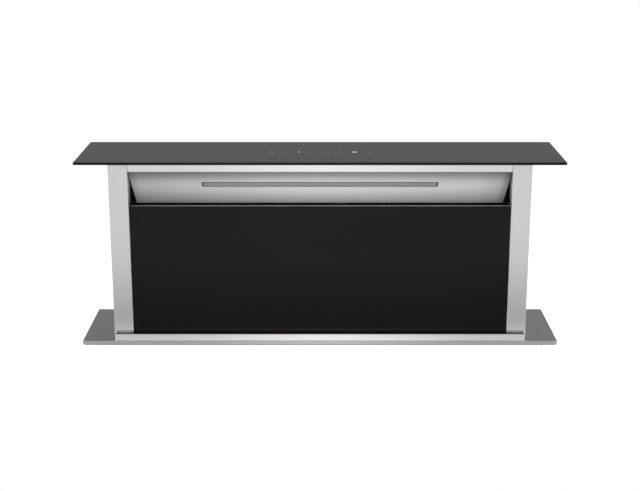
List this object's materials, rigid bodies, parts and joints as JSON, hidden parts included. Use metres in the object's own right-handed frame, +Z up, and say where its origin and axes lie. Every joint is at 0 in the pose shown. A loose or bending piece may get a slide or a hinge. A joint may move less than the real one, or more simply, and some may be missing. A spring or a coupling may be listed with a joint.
{
  "type": "downdraft vent",
  "caption": "Pop-up downdraft extractor shown raised: black glass lid and front in a brushed steel tower, wide intake with a light bar, and its lift and blower housing below.",
  "frame": {"origin": "on the floor under the levelling feet, at the centre of the overall plan", "axes": "+Z up, +X to the right seen from the cook's side, +Y to the back, away from the cook"},
  "size_m": [0.9, 0.3538, 1.0435],
  "materials": {
    "brushed_steel": "brushed along the width, satin",
    "galvanised_sheet": "galvanised sheet, dull with faint spangle",
    "zinc_plated_steel": "zinc plated, satin",
    "black_painted_metal": "satin black paint",
    "black_glass": "black tempered glass, polished edges",
    "black_rubber": "matt black",
    "black_plastic": "fine matt texture",
    "white_plastic": "natural slide-bearing plastic",
    "aluminium": "mill finish and woven mesh",
    "circuit_board": "green solder mask",
    "opal_lens": "frosted light cover, unlit"
  },
  "bodies": {
    "housing": {"worktop_flange": "brushed_steel", "front_rail": "brushed_steel", "well_front": "galvanised_sheet", "well_back": "galvanised_sheet", "well_side_left": "galvanised_sheet", "well_side_right": "galvanised_sheet", "well_floor": "galvanised_sheet", "blower_box": "galvanised_sheet", "blower_cover": "galvanised_sheet", "inlet_ring": "galvanised_sheet", "scroll": "galvanised_sheet", "duct_collar": "galvanised_sheet", "foot_rail_left": "galvanised_sheet", "foot_rail_right": "galvanised_sheet", "levelling_foot_front_left": "zinc_plated_steel", "levelling_foot_front_right": "zinc_plated_steel", "levelling_foot_rear_left": "zinc_plated_steel", "levelling_foot_rear_right": "zinc_plated_steel", "worktop_clamp_left": "zinc_plated_steel", "worktop_clamp_right": "zinc_plated_steel", "lift_motor_left": "zinc_plated_steel", "lift_motor_right": "zinc_plated_steel", "blower_motor": "black_painted_metal", "worktop_seal": "black_rubber", "front_wiper": "black_rubber", "screw_bearing_left": "black_plastic", "screw_bearing_right": "black_plastic", "control_box": "black_plastic", "control_box_lid": "black_plastic", "cable_gland": "black_plastic", "guide_rail_left": "aluminium", "guide_rail_right": "aluminium"},
    "tower": {"glass_lid": "black_glass", "lid_carrier": "galvanised_sheet", "touch_board": "circuit_board", "stile_left": "brushed_steel", "stile_right": "brushed_steel", "top_rail": "brushed_steel", "tower_back": "galvanised_sheet", "tower_side_left": "galvanised_sheet", "tower_side_right": "galvanised_sheet", "tower_base": "galvanised_sheet", "baffle": "brushed_steel", "light_lens": "opal_lens", "light_board": "circuit_board", "filter_ledge": "galvanised_sheet", "lift_nut_left": "white_plastic", "lift_nut_right": "white_plastic", "glide_bar_left": "white_plastic", "glide_bar_right": "white_plastic"},
    "front_panel": {"front_glass": "black_glass", "front_panel_frame": "black_painted_metal"},
    "filter_left": {"grease_filter_left": "aluminium"},
    "filter_right": {"grease_filter_right": "aluminium"},
    "impeller": {"impeller_blades": "galvanised_sheet", "impeller_disc": "galvanised_sheet"},
    "flap_front": {"flap_front": "aluminium"},
    "flap_rear": {"flap_rear": "aluminium"},
    "screw_left": {"lift_screw_left": "zinc_plated_steel"},
    "screw_right": {"lift_screw_right": "zinc_plated_steel"}
  },
  "joints": [
    {"name": "tower_lift", "type": "slide", "parent": "housing", "child": "tower", "axis": [0, 0, 1], "range_m": [-0.3262, 0]},
    {"name": "lift_screw_left_turn", "type": "hinge", "parent": "housing", "child": "screw_left", "pos_m": [-0.4, 0.05063, 0.3], "axis": [0, 0, 1], "range_deg": [0, 5873]},
    {"name": "lift_screw_right_turn", "type": "hinge", "parent": "housing", "child": "screw_right", "pos_m": [0.4, 0.05063, 0.3], "axis": [0, 0, 1], "range_deg": [0, 5873]},
    {"name": "front_panel_unhook", "type": "slide", "parent": "tower", "child": "front_panel", "axis": [0, 0, 1], "range_m": [0, 0.01]},
    {"name": "filter_left_lift", "type": "slide", "parent": "tower", "child": "filter_left", "axis": [0, 0.5736, 0.8192], "range_m": [0, 0.005]},
    {"name": "filter_right_lift", "type": "slide", "parent": "tower", "child": "filter_right", "axis": [0, 0.5736, 0.8192], "range_m": [0, 0.005]},
    {"name": "impeller_spin", "type": "hinge", "parent": "housing", "child": "impeller", "pos_m": [0, -0.09037, 0.2138], "axis": [0, 1, 0], "continuous": true},
    {"name": "flap_front_swing", "type": "hinge", "parent": "housing", "child": "flap_front", "pos_m": [-0.2243, -0.09037, 0.3108], "axis": [0, 0, -1], "range_deg": [0, 75], "stiffness_Nm_per_rad": 0.004, "springref_deg": -22.92},
    {"name": "flap_rear_swing", "type": "hinge", "parent": "housing", "child": "flap_rear", "pos_m": [-0.2243, -0.09037, 0.3108], "axis": [0, 0, 1], "range_deg": [0, 75], "stiffness_Nm_per_rad": 0.004, "springref_deg": -22.92}
  ],
  "couplings": [
    {"joint": "lift_screw_left_turn", "follows": "tower_lift", "rad_per_m": -314.16},
    {"joint": "lift_screw_right_turn", "follows": "tower_lift", "rad_per_m": -314.16}
  ]
}
